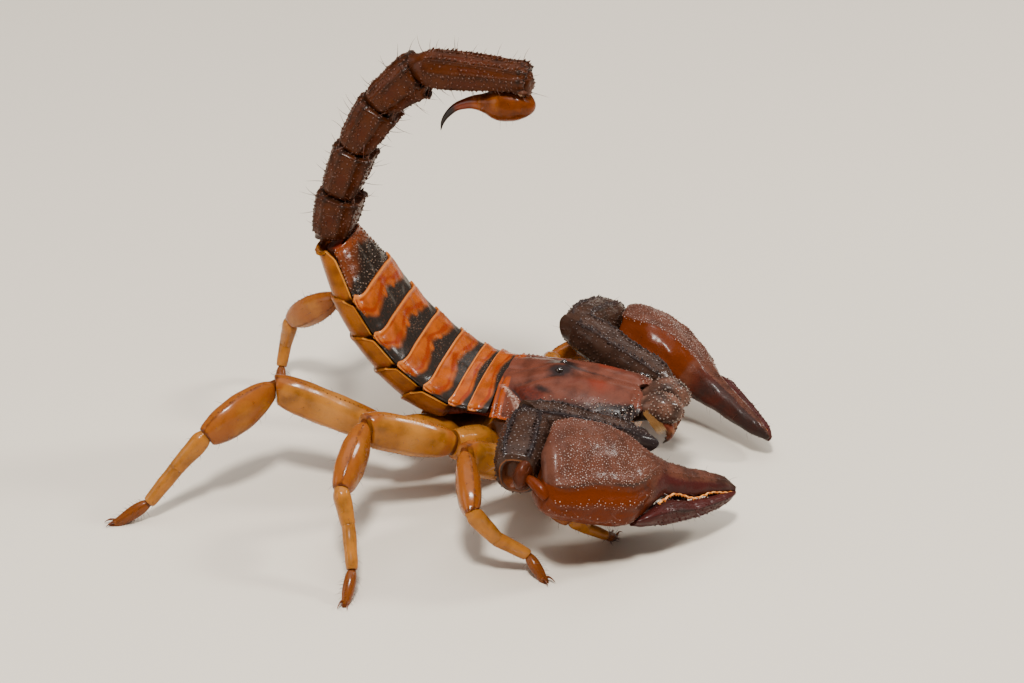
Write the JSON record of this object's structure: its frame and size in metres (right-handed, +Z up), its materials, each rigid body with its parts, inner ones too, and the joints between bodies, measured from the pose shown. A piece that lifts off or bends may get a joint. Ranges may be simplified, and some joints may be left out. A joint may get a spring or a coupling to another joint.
{
  "type": "desert scorpion",
  "caption": "Desert scorpion standing alert: broad grained pincers held low in front, plated body and the tail arched high over the back.",
  "frame": {"origin": "centre of the standing animal's box at floor level", "axes": "+X forward towards the head, +Y to the animal's left, +Z up from the floor"},
  "size_m": [0.0546, 0.0506, 0.0414],
  "materials": {
    "mahogany_shell": "glossy red-brown horny shell with dark grains along the sides",
    "rust_shell": "glossy rust-orange shell plates with black grained front halves",
    "black_shell": "near-black grained shell with a satin gloss",
    "claw_shell": "purple-brown grained shell, orange-brown on the lower face",
    "tail_shell": "dark reddish-brown keeled shell with small teeth",
    "amber_shell": "smooth amber shell, dark at the needle's tip",
    "leg_shell": "yellow-tan shell with dark red joints",
    "belly_shell": "olive-yellow thin shell plates",
    "skin": "dark red soft joint skin",
    "eye": "wet black eye lens"
  },
  "bodies": {
    "root": {"carapace": "mahogany_shell", "eye_left": "eye", "eye_right": "eye", "jaw_left": "black_shell", "jaw_right": "black_shell", "sting": "black_shell", "back_plate_7": "black_shell", "leg_bases_and_breastplate": "leg_shell", "trunk_core": "skin", "back_plate_1": "rust_shell", "back_plate_2": "rust_shell", "back_plate_3": "rust_shell", "back_plate_4": "rust_shell", "back_plate_5": "rust_shell", "back_plate_6": "rust_shell", "belly_plate_3": "belly_shell", "belly_plate_4": "belly_shell", "belly_plate_5": "belly_shell", "belly_plate_6": "belly_shell", "belly_plate_7": "belly_shell", "tail_segment_1": "tail_shell", "tail_segment_2": "tail_shell", "tail_segment_3": "tail_shell", "tail_segment_4": "tail_shell", "tail_segment_5": "tail_shell", "venom_bulb": "amber_shell", "arm_right_ring": "black_shell", "arm_right_upper": "black_shell", "arm_right_fore": "black_shell", "hand_right": "claw_shell", "moving_finger_right": "claw_shell", "leg_right_1_thigh": "leg_shell", "leg_right_1_knee": "leg_shell", "leg_right_1_foot": "leg_shell", "leg_right_2_thigh": "leg_shell", "leg_right_2_knee": "leg_shell", "leg_right_2_foot": "leg_shell", "leg_right_3_thigh": "leg_shell", "leg_right_3_knee": "leg_shell", "leg_right_3_foot": "leg_shell", "leg_right_4_thigh": "leg_shell", "leg_right_4_knee": "leg_shell", "leg_right_4_foot": "leg_shell", "arm_left_ring": "black_shell", "arm_left_upper": "black_shell", "arm_left_fore": "black_shell", "hand_left": "claw_shell", "moving_finger_left": "claw_shell", "leg_left_1_thigh": "leg_shell", "leg_left_1_knee": "leg_shell", "leg_left_1_foot": "leg_shell", "leg_left_2_thigh": "leg_shell", "leg_left_2_knee": "leg_shell", "leg_left_2_foot": "leg_shell", "leg_left_3_thigh": "leg_shell", "leg_left_3_knee": "leg_shell", "leg_left_3_foot": "leg_shell", "leg_left_4_thigh": "leg_shell", "leg_left_4_knee": "leg_shell", "leg_left_4_foot": "leg_shell"}
  },
  "joints": []
}
